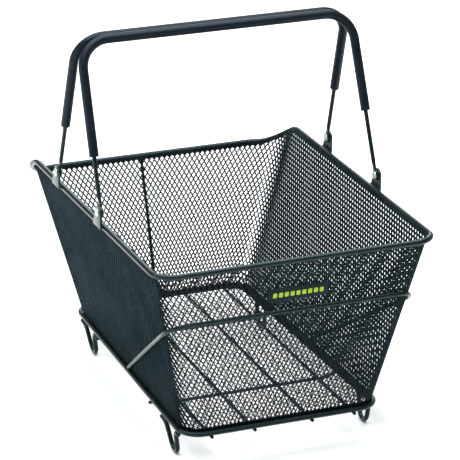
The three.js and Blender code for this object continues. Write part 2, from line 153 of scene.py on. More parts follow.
BACKING_SIZE, BACKING_DROP = (60, 12), 2.2  # from the middle of the mesh to its inner face
MARKS, MARK_SIZE, MARKS_REACH = 9, (4.8, 6), 27.7

# The near rim's and the base wire's centrelines, from the boxes of the frame's own wires.
rim_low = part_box("rim_wire")[0]
base_low, base_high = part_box("base_wire")
LAYOUT_ORIGIN = np.array([0.0, rim_low[1] + RIM_WIRE / 2000, (base_low[2] + base_high[2]) / 2])


# ---- From arrays to objects ----

def put_in_scene(name, points, faces, material, body="basket", sharp=None):
    """A piece whose points go from layout millimetres to row metres: millimetres / 1000 + the
    layout's origin."""
    mesh = bpy.data.meshes.new(name)
    points = np.asarray(points, float).reshape(-1, 3) / 1000 + LAYOUT_ORIGIN
    if isinstance(faces, np.ndarray):
        count = len(faces)
        mesh.vertices.add(len(points))
        mesh.vertices.foreach_set("co", points.astype(np.float32).ravel())
        mesh.loops.add(count * 4)
        mesh.loops.foreach_set("vertex_index", faces.astype(np.int32).ravel())
        mesh.polygons.add(count)
        mesh.polygons.foreach_set("loop_start", np.arange(0, count * 4, 4, dtype=np.int32))
        mesh.update(calc_edges=True)
    else:
        mesh.from_pydata(points.tolist(), [], faces)
        mesh.update()
    mesh.validate()
    mesh.shade_smooth()
    if sharp:
        mesh.set_sharp_from_angle(angle=math.radians(sharp))
    mesh.materials.append(material)
    piece = bpy.data.objects.new(name, mesh)
    bpy.context.collection.objects.link(piece)
    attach(piece, body)
    return piece


def grid_faces(rings, around, closed=False):
    """Quads between ring i and ring i + 1, wrapping round each ring, and from the last ring to the
    first when the rings close on themselves. Corner a of ring i is point i * around + a."""
    ring = np.arange(rings if closed else rings - 1)[:, None]
    corner = np.arange(around)[None, :]
    here, there = ring * around, ((ring + 1) % rings) * around
    ahead = (corner + 1) % around
    quads = [here + corner, here + ahead, there + ahead, there + corner]
    return np.stack(quads, axis=-1).reshape(-1, 4)


def join(parts):
    """Several (points, faces) as one: each part's point numbers move up by the points before it."""
    points, faces, start = [], [], 0
    for part_points, part_faces in parts:
        part_points = np.asarray(part_points).reshape(-1, 3)
        points.append(part_points)
        if isinstance(part_faces, np.ndarray):
            part_faces = part_faces.tolist()
        faces += [[v + start for v in face] for face in part_faces]
        start += len(part_points)
    return np.vstack(points), faces


# ---- Lines and sweeps ----

ARC_PIECES = 32


def unit(v):
    """A vector, or each of an array's, divided by its length."""
    return v / np.maximum(np.linalg.norm(v, axis=-1, keepdims=True), 1e-12)


def smooth(x, low, high):
    """0 below low, 1 above high, and 3t^2 - 2t^3 between them."""
    t = np.clip((x - low) / (high - low), 0, 1)
    return t * t * (3 - 2 * t)


def rounded_line(corners, radii, pieces=ARC_PIECES):
    """An open line with its inner corners rounded: each arc is centre + start * cos(angle)
    + travel * radius * sin(angle), for angles from 0 to the corner's turn."""
    corners = [np.array(c, float) for c in corners]
    out = [corners[0][None]]
    for before, corner, after, radius in zip(corners, corners[1:], corners[2:], radii):
        back, on = unit(before - corner), unit(after - corner)
        turn = math.pi - math.acos(float(np.clip(back @ on, -1, 1)))
        centre = corner + unit(back + on) * radius / math.cos(turn / 2)
        start = corner + back * radius * math.tan(turn / 2) - centre
        angle = np.linspace(0, turn, pieces + 1)[:, None]
        out.append(centre + start * np.cos(angle) - back * radius * np.sin(angle))
    out.append(corners[-1][None])
    return np.vstack(out)


def lengths_along(line):
    """Distance of each point from the line's start: the running sum of the pieces' lengths."""
    return np.concatenate([[0], np.cumsum(np.linalg.norm(np.diff(line, axis=0), axis=1))])


def at_distances(line, distances):
    """Points at given distances along a line, in straight pieces between its points."""
    along = lengths_along(line)
    return np.stack([np.interp(distances, along, line[:, k]) for k in range(3)], axis=-1)


def evenly(line, step):
    """The same line with points about one step apart."""
    total = lengths_along(line)[-1]
    return at_distances(line, np.linspace(0, total, max(2, int(round(total / step)) + 1)))


def tangents(points, closed=False):
    """Direction of travel at each point: from the point before to the point after."""
    if closed:
        return unit(np.roll(points, -1, axis=0) - np.roll(points, 1, axis=0))
    return unit(np.gradient(points, axis=0))


def rings_round(centres, travel, reference, half_side, half_up, sides=18, squareness=0.0):
    """Rings round a line: centre + side * half_side * c + up * half_up * s, where side is travel x
    reference, up is travel x side, and c and s are cos and sin of the ring's angle raised to the
    power 1 - squareness with their signs kept, which squares the section off."""
    side = unit(np.cross(travel, reference))
    up = np.cross(travel, side)
    angle = 2 * np.pi * (np.arange(sides) + 0.5) / sides
    power = 1 - np.broadcast_to(squareness, (len(centres),))[:, None]
    c = np.sign(np.cos(angle)) * np.abs(np.cos(angle)) ** power
    s = np.sign(np.sin(angle)) * np.abs(np.sin(angle)) ** power
    wide = (np.broadcast_to(half_side, (len(centres),))[:, None] * c)[..., None]
    high = (np.broadcast_to(half_up, (len(centres),))[:, None] * s)[..., None]
    return centres[:, None] + side[:, None] * wide + up[:, None] * high


def capped(rings):
    """Skin through the rings with a flat face on each end."""
    count, around = rings.shape[:2]
    faces = grid_faces(count, around).tolist()
    faces.append(list(range(around))[::-1])
    faces.append(list(range((count - 1) * around, count * around)))
    return rings, faces


def wire(line, diameter, reference, sides=18, chamfer=0.5):
    """A round wire along an open line, its ends drawn in by a small chamfer: radius is reduced by
    the chamfer on the end rings and full one chamfer further in."""
    total = lengths_along(line)[-1]
    along = lengths_along(line)[1:-1]
    along = along[(along > 2 * chamfer) & (along < total - 2 * chamfer)]
    at = np.concatenate([[0, chamfer], along, [total - chamfer, total]])
    radius = np.full(len(at), diameter / 2)
    radius[[0, -1]] -= chamfer
    centres = at_distances(line, at)
    across = np.array(reference, float)
    return capped(rings_round(centres, tangents(centres), across, radius, radius, sides))


def wire_loop(line, diameter, reference, sides=18):
    """A round wire along a closed line that doesn't repeat its first point."""
    rings = rings_round(line, tangents(line, closed=True), np.array(reference, float),
                        diameter / 2, diameter / 2, sides)
    return rings, grid_faces(len(line), sides, closed=True)


# ---- The walls ----

def wall_cut(rise, inset):
    """A level cut through the walls at a fraction of their height: each size goes in a straight
    line from the base loop's to the rim's, and the cut lies an inset inside them."""
    mix = lambda low, high: low + (high - low) * rise
    return {
        "half": [mix(BASE_WIDTH[k], RIM_WIDTH[k]) / 2 - inset for k in (0, 1)],
        "near": mix(BASE_NEAR, 0) + inset,
        "far": mix(BASE_NEAR + BASE_LENGTH, RIM_LENGTH) - inset,
        "corner": [mix(BASE_CORNER, RIM_CORNER[k]) - inset for k in (0, 1)],
    }


def cut_line(rise, inset):
    """The cut's outline, counter-clockwise from the middle of the near side back to it, with
    ARC_PIECES pieces in each rounded corner."""
    cut = wall_cut(rise, inset)
    (half_near, half_far), near, far = cut["half"], cut["near"], cut["far"]
    corners = [(0, near, 0), (half_near, near, 0), (half_far, far, 0), (-half_far, far, 0),
               (-half_near, near, 0), (0, near, 0)]
    radii = [cut["corner"][k] for k in (0, 1, 1, 0)]
    return rounded_line(corners, radii)


def quarter_spans(line):
    """The outline in four stretches that meet in the middles of its corners: near, right, far and
    left. Corner k's middle is point 1 + k * (ARC_PIECES + 1) + ARC_PIECES / 2."""
    middles = [1 + k * (ARC_PIECES + 1) + ARC_PIECES // 2 for k in range(4)]
    return [np.vstack([line[middles[3]:-1], line[:middles[0] + 1]]),
            line[middles[0]:middles[1] + 1], line[middles[1]:middles[2] + 1],
            line[middles[2]:middles[3] + 1]]


def rim_drop(points, inset):
    """How far the rim has come down: RIM_DROP * smooth(wire past DROP_START, 0, DROP_RUN), the wire
    being counted along the side, then round the corner, then along the far side."""
    cut = wall_cut(1, inset)
    corner, half, arc_start = cut["corner"][1], cut["half"][1], cut["far"] - cut["corner"][1]
    x, y = np.abs(points[..., 0]), points[..., 1]
    turn = np.clip(np.arctan2(y - arc_start, x - (half - corner)), 0, np.pi / 2)
    past = y > arc_start
    along = (np.minimum(y, arc_start) - DROP_START + np.where(past, corner * turn, 0)
             + np.where(past, np.maximum(half - corner - x, 0), 0))
    return RIM_DROP * smooth(along, 0, DROP_RUN)


spans_of_loops = {}  # (base, rim) outlines already split into stretches, by inset


def loops_at(stretch, fraction, inset):
    """The base loop's and rim's points at fractions of one stretch's length."""
    if inset not in spans_of_loops:
        spans_of_loops[inset] = [quarter_spans(cut_line(rise, inset)) for rise in (0, 1)]
    ends = []
    for spans in spans_of_loops[inset]:
        span = spans[stretch]
        ends.append(at_distances(span, np.asarray(fraction) * lengths_along(span)[-1]))
    low, high = ends
    high[..., 2] = RIM_HEIGHT - rim_drop(high, inset)
    return low, high


def round_the_walls(position, inset):
    """Base and rim points for positions counted in mesh openings round the whole basket, from the
    middle of the near left corner."""
    starts = np.concatenate([[0], np.cumsum(COLUMNS)])
    position = np.mod(np.asarray(position, float), starts[-1])
    low, high = np.zeros(position.shape + (3,)), np.zeros(position.shape + (3,))
    for stretch, columns in enumerate(COLUMNS):
        here = (position >= starts[stretch]) & (position < starts[stretch + 1])
        fraction = (position[here] - starts[stretch]) / columns
        low[here], high[here] = loops_at(stretch, fraction, inset)
    return low, high


def on_wall(position, height, inset, above=0.0):
    """A point of the mesh's middle surface: low + (high - low) * height / rim height there, and no
    higher than a little above the rim."""
    low, high = round_the_walls(position, inset)
    rise = np.minimum(height / high[..., 2], 1 + above / high[..., 2])
    return low + (high - low) * rise[..., None]


def side_rail_x(y):
    """Half the base loop's width, in a straight line from its near end's to its far end's."""
    return (BASE_WIDTH[0] + (BASE_WIDTH[1] - BASE_WIDTH[0]) * (y - BASE_NEAR) / BASE_LENGTH) / 2


def side_rim_x(y):
    """Half the rim's width, in a straight line from its near end's to its far end's."""
    return (RIM_WIDTH[0] + (RIM_WIDTH[1] - RIM_WIDTH[0]) * y / RIM_LENGTH) / 2


def lattice(centres, normals, width, thickness):
    """Strands of an expanded sheet: many lines at once, each with a six-sided section that is wide
    in the sheet and flat across it; centre + side * width * c + normal * thickness * s."""
    travel = unit(np.gradient(centres, axis=1))
    side = unit(np.cross(travel, normals))
    up = np.cross(travel, side)
    section = np.array([(0.5, 0), (0.3, 0.5), (-0.3, 0.5), (-0.5, 0), (-0.3, -0.5), (0.3, -0.5)])
    rings = (centres[:, :, None] + side[:, :, None] * (section[:, 0] * width)[:, None]
             + up[:, :, None] * (section[:, 1] * thickness)[:, None])
    rows, count = rings.shape[:2]
    one = grid_faces(count, 6)
    last = (count - 1) * 6
    ends = np.array([[3, 2, 1, 0], [5, 4, 3, 0], [last, last + 1, last + 2, last + 3],
                     [last, last + 3, last + 4, last + 5]])
    one = np.vstack([one, ends])
    return rings, (one[None] + (np.arange(rows) * count * 6)[:, None, None]).reshape(-1, 4)


def wave_rows(rows, half_steps, start):
    """Waves, one to a row, whose crests reach the next row's troughs: in half step k of row m the
    height goes from row m to row m + 1 when k + m is even, and back when it is odd. It stops CREST
    short at both ends and climbs gently near them, which rounds the openings."""
    phase = np.array([0, 0.24, 0.76])
    climb = np.array([CREST, 0.22, 0.78])
    k = np.arange(start, start + half_steps)
    position = (k[:, None] + phase).reshape(-1)
    m = np.arange(rows)
    rising = ((k[None, :] + m[:, None]) % 2 == 0)[..., None]
    height = np.where(rising, climb, 1 - climb).reshape(len(m), -1) + m[:, None]
    position = np.append(position, k[-1] + 1)
    end = np.where((k[-1] + 1 + m) % 2 == 0, CREST, 1 - CREST) + m
    return np.broadcast_to(position, (len(m), len(position))), np.hstack([height, end[:, None]])


def wall_strands(stretch, first_height):
    """One wall's strands: the waves laid on the ruled surface between base loop and rim, at
    first_height + row * HALF_ROW. The normal is the way along the wall x the way up it."""
    start = 2 * int(np.sum(COLUMNS[:stretch]))
    top = RIM_HEIGHT - (RIM_DROP if stretch == FAR_STRETCH else 0)
    rows = int(math.ceil((top - first_height) / HALF_ROW))
    position, height = wave_rows(rows, 2 * COLUMNS[stretch], start)
    position = position / 2
    height = first_height + height * HALF_ROW
    centres = on_wall(position, height, SHEET_INSET, above=STRAND_TOP)
    ahead = on_wall(position + 0.2, height, SHEET_INSET, above=STRAND_TOP)
    behind = on_wall(position - 0.2, height, SHEET_INSET, above=STRAND_TOP)
    low, high = round_the_walls(position, SHEET_INSET)
    normals = unit(np.cross(ahead - behind, high - low))
    return lattice(centres, normals, STRAND[stretch], SHEET[stretch])


def band(lower, upper, thickness):
    """A thin closed band between two lines round the basket, given on its middle: its four loops
    are the lines moved half the thickness out and in, level and square to their course."""
    out = unit(np.cross(tangents(lower, closed=True), np.array([0, 0, 1.0]))) * thickness / 2
    rings = np.stack([lower - out, lower + out, upper + out, upper - out], axis=1)
    return rings, grid_faces(len(lower), 4, closed=True)[:, ::-1]


def below_rim(position, distance, inset):
    """A point of the walls at a distance below the rim's centreline: high - (high - low) * distance
    / rim height there."""
    low, high = round_the_walls(position, inset)
    return high - (high - low) * (np.asarray(distance) / high[..., 2])[..., None]


def floor_strands():
    """The floor's strands: waves that run across the basket, one behind another. In a corner the
    strip between half - radius and half is squeezed by sqrt(radius^2 - (radius - distance)^2) /
    radius, where distance is how far in from the near or far edge the point lies."""
    y_first, y_last = BASE_NEAR + FLOOR_INSET, BASE_NEAR + BASE_LENGTH - FLOOR_INSET
    rows = int((y_last - y_first) / FLOOR_HALF_ROW)
    position, height = wave_rows(rows, FLOOR_HALF_STEPS, 0)
    y = y_first + height * (y_last - y_first) / rows
    half = side_rail_x(y) - FLOOR_INSET
    radius = BASE_CORNER - FLOOR_INSET
    distance = np.clip(np.minimum(y - y_first, y_last - y), 0, radius)
    squeeze = np.sqrt(radius**2 - (radius - distance) ** 2) / radius
    across = (position / FLOOR_HALF_STEPS - 0.5) * 2 * half
    inner = np.clip(across, radius - half, half - radius)
    x = inner + (across - inner) * squeeze
    centres = np.stack([x, y, np.full_like(x, FLOOR_MESH_Z)], axis=-1)
    upward = np.broadcast_to(np.array([0, 0, 1.0]), centres.shape)
    return lattice(centres, upward, FLOOR_STRAND, FLOOR_SHEET)


# ---- Wires that aren't loops ----

def guard_line():
    """The guard wire laid on the walls: a line rounded in the wall's unrolled plane (distance from
    the middle of the near side, height), then bent round the near corner, x = flat + corner *
    sin(turn), y = near + corner * (1 - cos(turn)), and on along the side."""
    cut_at = lambda height: wall_cut(height / RIM_HEIGHT, GUARD_INSET)
    end = cut_at(GUARD_END_HEIGHT)
    end_distance = (end["half"][0] + GUARD_END_Y - end["near"]
                    - end["corner"][0] * (2 - math.pi / 2))
    turn_distance = wall_cut(GUARD_HEIGHT / RIM_HEIGHT, 0)["half"][0] - GUARD_TURN_INSET
    flat_line = rounded_line([(0, GUARD_HEIGHT, 0), (turn_distance, GUARD_HEIGHT, 0),
                              (end_distance, GUARD_END_HEIGHT, 0)], [GUARD_BEND])
    flat_line = evenly(flat_line, GUARD_STEP)
    distance, height = flat_line[:, 0], flat_line[:, 1]
    cut = cut_at(height)
    corner, half = cut["corner"][0], cut["half"][0]
    flat = half - corner
    turn = np.clip((distance - flat) / corner, 0, np.pi / 2)
    past = np.maximum(distance - flat - corner * np.pi / 2, 0)
    y = cut["near"] + corner * (1 - np.cos(turn)) + past
    side_x = half + (cut["half"][1] - half) * (y - cut["near"]) / (cut["far"] - cut["near"])
    x = np.where(past > 0, side_x, np.minimum(distance, flat) + corner * np.sin(turn))
    right = np.stack([x, y, height], axis=-1)
    left = right[:0:-1] * np.array([-1, 1, 1])
    return evenly(np.vstack([left, right]), GUARD_STEP)


def cross_line(y):
    """A cross wire: under both rails at its ends and one floor wire lower between them, with
    CROSS_STEP of run for each step and corners of radius CROSS_BEND."""
    low_z = FLOOR_WIRE_Z - FLOOR_WIRE
    tip = side_rail_x(y) + BASE_WIRE / 2 + CROSS_END
    out = side_rail_x(y) - BASE_WIRE
    right = [(tip, y, FLOOR_WIRE_Z), (out, y, FLOOR_WIRE_Z), (out - CROSS_STEP, y, low_z)]
    left = [(-x, y, z) for x, y, z in right[::-1]]
    return rounded_line(right + left, [CROSS_BEND] * 4, pieces=8)


def foot_line(y, side):
    """A foot: a tab under the rail, a leg down, a short bottom, a slant back up and a second tab,
    rounded, and leaned inwards as x = rail + FOOT_LEAN * (z - top)."""
    top = -(BASE_WIRE + FOOT_WIRE) / 2
    leg = y + FOOT_TAB[0]
    slant = leg + FOOT_BOTTOM
    tail = slant + FOOT_SLANT
    corners = [(0, y, top), (0, leg, top), (0, leg, -FOOT_DEPTH), (0, slant, -FOOT_DEPTH),
               (0, tail, top), (0, tail + FOOT_TAB[1], top)]
    line = rounded_line(corners, FOOT_BENDS, pieces=12)
    line[:, 0] = side * (side_rail_x(leg) + FOOT_LEAN * (line[:, 2] - top))
    return evenly(line, 1.2)


# ---- Handles ----

def tab_inside(end):
    """Inner face of a bracket: just outside the rim wire at the tab's toe."""
    return side_rim_x(PIVOT_Y[end] + TAB_TOE) + RIM_WIRE / 2 + TAB_GAP


def eyelet_middle(end):
    """Middle of a handle's eyelet, which lies just inside the bracket's inner face."""
    return tab_inside(end) - EYELET_GAP


def handle_corners(end):
    """Left pivot, left and right ends of the crossbar, right pivot."""
    low = lambda side: np.array([side * eyelet_middle(end), PIVOT_Y[end], PIVOT_Z])
    high = lambda side: np.array([side * HANDLE_WIDTH / 2, HANDLE_TOP_Y[end], HANDLE_TOP_Z])
    return low(-1), high(-1), high(1), low(1)


def handle_plane(end):
    """Direction square to the handle's plane: across x leg."""
    low, high, _, _ = handle_corners(end)
    return unit(np.cross([1.0, 0, 0], high - low))


def handle_wire(end):
    """Round wire whose ends are flattened to eyelets. With flat = 1 - smooth(d, 9, 18) at distance
    d above a pivot, the half width is the larger of radius + 0.8 * flat and sqrt(EYELET^2 - d^2),
    the half thickness is radius - (radius - EYELET_HALF_THICK) * flat, and the section is squared
    by 0.55 * flat."""
    radius = HANDLE_WIRE / 2
    left, top_left, top_right, right = handle_corners(end)
    reach = unit(top_left - left) * EYELET
    line = rounded_line([left - reach, top_left, top_right, right - reach * [-1, 1, 1]],
                        [HANDLE_BEND, HANDLE_BEND])
    total = lengths_along(line)[-1]
    fine = EYELET * (1 - np.cos(np.linspace(0.06, math.pi / 2, 14)))
    near_end = np.concatenate([fine, np.linspace(EYELET + 0.8, 30, 26)])
    middle = np.linspace(30, total - 30, 190)[1:-1]
    at = np.concatenate([near_end, middle, total - near_end[::-1]])
    d = np.minimum(at, total - at) - EYELET
    flat = 1 - smooth(d, 9, 18)
    disc = np.sqrt(np.maximum(EYELET**2 - d**2, 0.0))
    wide = np.where(d < 0, disc, np.maximum(disc, radius + 0.8 * flat))
    thick = radius - (radius - EYELET_HALF_THICK) * flat
    centres = at_distances(line, at)
    return capped(rings_round(centres, tangents(centres), handle_plane(end), thick, wide,
                              sides=24, squareness=0.55 * flat))


def grip(end):
    """Rubber tube round the handle: radius GRIP_RADIUS with softened ends. At each end the skin
    turns in over the end face and a short way down the bore, where it closes inside the wire; lip
    lists those rings as (distance from the tube's end, radius)."""
    left_start, right_start = GRIP_START[end]
    left, top_left, top_right, right = handle_corners(end)
    line = rounded_line([left, top_left, top_right, right], [HANDLE_BEND, HANDLE_BEND])
    total = lengths_along(line)[-1]
    first, last = left_start, total - right_start
    bore = HANDLE_WIRE / 2 + 0.2
    lip = np.array([(4.0, bore), (0.05, bore + 0.05), (0.0, bore + 0.3), (0.0, GRIP_RADIUS - 0.6),
                    (0.25, GRIP_RADIUS - 0.2), (0.8, GRIP_RADIUS)])
    middle = np.linspace(first + 3, last - 3, 200)
    at = np.concatenate([first + lip[:, 0], middle, last - lip[::-1, 0]])
    radius = np.concatenate([lip[:, 1], np.full(len(middle), GRIP_RADIUS), lip[::-1, 1]])
    fine = np.linspace(0, total, 1200)
    fine_points = at_distances(line, fine)
    fine_travel = tangents(fine_points)
    travel = unit(np.stack([np.interp(at, fine, fine_travel[:, k]) for k in range(3)], axis=-1))
    centres = at_distances(line, at)
    return capped(rings_round(centres, travel, handle_plane(end), radius, radius, sides=28))


# ---- Plates, rivets and beads ----

def plate(outline, thickness, bevel):
    """A flat plate with rounded edges: the outline, drawn in by bevel * (1 - sin(a)) at height
    bevel * (1 - cos(a)) near each face, and flat on both."""
    ahead, behind = np.roll(outline, -1, axis=0), np.roll(outline, 1, axis=0)
    travel = unit(ahead - behind)
    inward = np.stack([-travel[:, 1], travel[:, 0]], axis=-1)
    angle = np.linspace(0, math.pi / 2, 4)
    draw = bevel * (1 - np.sin(angle))
    lift = bevel * (1 - np.cos(angle))
    draw = np.concatenate([draw, draw[::-1]])
    lift = np.concatenate([lift, thickness - lift[::-1]])
    flat = outline[None] + inward[None] * draw[:, None, None]
    height = np.broadcast_to(lift[:, None, None], flat.shape[:2] + (1,))
    return capped(np.concatenate([flat, height], axis=-1))


def rounded_outline(width, height, corner, steps=8):
    """A rectangle's outline, counter-clockwise: in each corner an arc, corner * (cos, sin), turned
    by quarter turns and moved to the corner's centre."""
    angle = np.linspace(0, math.pi / 2, steps + 1)
    arc = corner * np.stack([np.cos(angle), np.sin(angle)], axis=-1)
    quarter = lambda turn: arc @ np.array([[math.cos(turn), math.sin(turn)],
                                           [-math.sin(turn), math.cos(turn)]])
    centres = [(1, 1), (-1, 1), (-1, -1), (1, -1)]
    middle = np.array([width / 2 - corner, height / 2 - corner])
    return np.vstack([quarter(k * math.pi / 2) + middle * c for k, c in enumerate(centres)])


def tab_outline():
    """A bracket seen from its side: near edge upright, top a half circle round the pivot, far edge
    sloping out to the toe along the circle's tangent, both foot corners eased."""
    radius, low, toe = TAB_RADIUS, -TAB_DEPTH, TAB_TOE
    tangent = math.atan2(low, toe) + math.acos(radius / math.hypot(toe, low))
    angle = np.linspace(tangent, math.pi, 26)
    top = radius * np.stack([np.cos(angle), np.sin(angle)], axis=-1)
    foot = np.array([(-radius, low + 3), (-radius + 0.3, low + 0.6), (-radius + 1, low),
                     (0, low), (toe - 3, low), (toe - 1, low + 0.4), (toe - 1.1, low + 1.6)])
    return np.vstack([top, np.linspace(top[-1], foot[0], 5)[1:-1], foot])


def spun(profile, sides=40):
    """A profile of (distance along the pin, radius) turned about the pin's line: the point at an
    angle is (along, radius * cos, radius * sin)."""
    angle = 2 * np.pi * np.arange(sides) / sides
    profile = np.array(profile, float)
    along = np.broadcast_to(profile[:, :1], (len(profile), sides))
    return capped(np.stack([along, profile[:, 1:] * np.cos(angle), profile[:, 1:] * np.sin(angle)],
                           axis=-1))


def rivet():
    """Shank with a domed head at each end, along x from the inner head's face. A head's outline is
    a quarter ellipse, RIVET_DOME * cos by RIVET_HEAD * sin, on a short straight edge."""
    grip_length, shank = RIVET_GRIP, RIVET_SHANK
    angle = np.linspace(0.06, math.pi / 2, 10)
    dome = np.stack([-0.5 - RIVET_DOME * np.cos(angle), RIVET_HEAD * np.sin(angle)], axis=-1)
    near_head = [*dome, (-0.1, RIVET_HEAD), (0, RIVET_HEAD - 0.3), (0, shank)]
    far_head = [(grip_length - x, radius) for x, radius in dome[::-1]]
    return spun([*near_head, (grip_length, shank), (grip_length, RIVET_HEAD - 0.3),
                 (grip_length + 0.1, RIVET_HEAD), *far_head])


def bead(line, width):
    """A weld bead: a low rounded ridge whose half width swells and shrinks a little along it,
    half * (1 + 0.12 * sin(distance * 2)), and draws in at both ends."""
    line = evenly(line, 0.8)
    along = lengths_along(line)
    ends = np.clip(np.minimum(along, along[-1] - along) / width, 0.12, 1) ** 0.5
    half = width / 2 * (1 + 0.12 * np.sin(along * 2.0)) * ends
    return capped(rings_round(line, tangents(line), np.array([0, 0, 1.0]), half, half, sides=10))


# ---- Finishes ----

def node_material(name, build, **settings):
    """A material whose Principled sockets are set from settings, then wired by build."""
    material = bpy.data.materials.new(name)
    material.use_nodes = True
    nodes, links = material.node_tree.nodes, material.node_tree.links
    shader = nodes["Principled BSDF"]
    for socket, value in settings.items():
        shader.inputs[socket.replace("_", " ")].default_value = value
    place = nodes.new("ShaderNodeTexCoord").outputs["Object"]
    build(nodes, links, shader, place)
    return material


def noise(nodes, links, place, scale, detail=3.0, roughness=0.55):
    """Cloudy noise, about 0.3 to 0.7, with scale clouds to the metre."""
    texture = nodes.new("ShaderNodeTexNoise")
    texture.inputs["Scale"].default_value = scale
    texture.inputs["Detail"].default_value = detail
    texture.inputs["Roughness"].default_value = roughness
    links.new(place, texture.inputs["Vector"])
    return texture.outputs["Fac"]


def ramp(nodes, links, value, stops):
    """A colour ramp through (place, colour) stops."""
    node = nodes.new("ShaderNodeValToRGB")
    elements = node.color_ramp.elements
    while len(elements) < len(stops):
        elements.new(0.5)
    for element, (position, colour) in zip(elements, stops):
        element.position = position
        element.color = (*colour, 1)
    links.new(value, node.inputs["Fac"])
    return node.outputs["Color"]


def between(nodes, links, value, low, high):
    """value, taken from about 0.3 to 0.7, stretched to low to high."""
    node = nodes.new("ShaderNodeMapRange")
    ends = {"From Min": 0.3, "From Max": 0.7, "To Min": low, "To Max": high}
    for socket, number in ends.items():
        node.inputs[socket].default_value = number
    links.new(value, node.inputs["Value"])
    return node.outputs["Result"]


def bump(nodes, links, shader, height, strength, distance):
    """Height values as relief of up to distance metres on the shader's normal."""
    node = nodes.new("ShaderNodeBump")
    node.inputs["Strength"].default_value = strength
    node.inputs["Distance"].default_value = distance
    links.new(height, node.inputs["Height"])
    links.new(node.outputs["Normal"], shader.inputs["Normal"])


def powder_coat(name, dark, pale, rough, peel, **shine):
    """Powder coat: two tones in slow patches, and the fine waviness of sprayed powder as bump and
    as changes of gloss."""
    def build(nodes, links, shader, place):
        patches = noise(nodes, links, place, 26, 4)
        links.new(ramp(nodes, links, patches, [(0.35, dark), (0.68, pale)]),
                  shader.inputs["Base Color"])
        fine = noise(nodes, links, place, 900, 2)
        links.new(between(nodes, links, fine, *rough), shader.inputs["Roughness"])
        bump(nodes, links, shader, fine, peel, 0.0002)
    return node_material(name, build, **shine)


frame_coat = powder_coat("frame_powder_coat", (0.0022, 0.0036, 0.0042), (0.0060, 0.0088, 0.0098),
                         (0.18, 0.30), 0.16, Specular_IOR_Level=0.28,
                         Specular_Tint=(0.55, 0.86, 0.95, 1))
mesh_coat = powder_coat("mesh_powder_coat", (0.012, 0.017, 0.019), (0.024, 0.031, 0.034),
                        (0.38, 0.55), 0.25, Metallic=1.0, Specular_Tint=(0.46, 0.55, 0.60, 1))
bracket_coat = powder_coat("bracket_powder_coat", (0.006, 0.009, 0.009), (0.013, 0.018, 0.018),
                           (0.20, 0.32), 0.12, Specular_IOR_Level=0.45,
                           Specular_Tint=(0.55, 0.86, 0.90, 1))


def rubber_nodes(nodes, links, shader, place):
    """Satin rubber tube: nearly even blue-black, with faint scuffs in tone and gloss and a fine
    grain as bump."""
    scuffs = noise(nodes, links, place, 60, 5, 0.7)
    tones = [(0.4, (0.0024, 0.0036, 0.0062)), (0.75, (0.0056, 0.0078, 0.0120))]
    links.new(ramp(nodes, links, scuffs, tones), shader.inputs["Base Color"])
    links.new(between(nodes, links, scuffs, 0.34, 0.46), shader.inputs["Roughness"])
    bump(nodes, links, shader, noise(nodes, links, place, 1500, 2), 0.12, 0.0001)


rubber = node_material("grip_rubber", rubber_nodes, Specular_IOR_Level=0.2,
                       Specular_Tint=(0.62, 0.82, 1.0, 1))


def rivet_nodes(nodes, links, shader, place):
    """Plated rivet: bright with cloudy dull patches."""
    cloud = noise(nodes, links, place, 420, 4)
    tones = [(0.3, (0.33, 0.37, 0.34)), (0.7, (0.62, 0.66, 0.62))]
    links.new(ramp(nodes, links, cloud, tones), shader.inputs["Base Color"])
    links.new(between(nodes, links, cloud, 0.25, 0.5), shader.inputs["Roughness"])
    bump(nodes, links, shader, cloud, 0.2, 0.0002)


plated_steel = node_material("rivet_plated_steel", rivet_nodes, Metallic=0.9)


def badge_nodes(nodes, links, shader, place):
    """Moulded plastic with a fine spark-eroded grain."""
    grain = noise(nodes, links, place, 1400, 3)
    tones = [(0.3, (0.002, 0.004, 0.005)), (0.7, (0.005, 0.009, 0.010))]
    links.new(ramp(nodes, links, grain, tones), shader.inputs["Base Color"])
    links.new(between(nodes, links, grain, 0.42, 0.58), shader.inputs["Roughness"])
    bump(nodes, links, shader, grain, 0.3, 0.0001)


badge_plastic = node_material("badge_plastic", badge_nodes, Specular_IOR_Level=0.15,
                              Specular_Tint=(0.6, 0.9, 1.0, 1))


def lime_nodes(nodes, links, shader, place):
    """Printed lime ink, a little uneven in strength."""
    patches = noise(nodes, links, place, 500, 3)
    tones = [(0.3, (0.24, 0.38, 0.010)), (0.7, (0.33, 0.48, 0.016))]
    links.new(ramp(nodes, links, patches, tones), shader.inputs["Base Color"])
    links.new(between(nodes, links, patches, 0.4, 0.55), shader.inputs["Roughness"])


lime = node_material("badge_lime_ink", lime_nodes, Specular_IOR_Level=0.3)

# ---- The frame's loops ----

UP, ACROSS, AHEAD = (0, 0, 1), (1, 0, 0), (0, 1, 0)
base_points, rim_points = round_the_walls(np.arange(0, sum(COLUMNS), 0.25), 0.0)


def frame_piece(name, shape, material, stands_for, body="basket",
                sharp=None):
    """A piece from its (points, faces), with the frame's nodes it stands for."""
    piece = put_in_scene(name, *shape, material, body, sharp)
    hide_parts(*stands_for)
    return piece


frame_piece("rim", wire_loop(rim_points, RIM_WIRE, UP), frame_coat, ["rim_wire"])
frame_piece("base_loop", wire_loop(base_points, BASE_WIRE, UP), frame_coat, ["base_wire"])

# ---- Mesh walls and floor ----

for stretch, side_name in enumerate(("near", "right", "far", "left")):
    frame_piece(f"wall_mesh_{side_name}", wall_strands(stretch, STRANDS_FROM), mesh_coat,
                ["wall_mesh"])
band_positions = np.arange(0, sum(COLUMNS), 0.125)


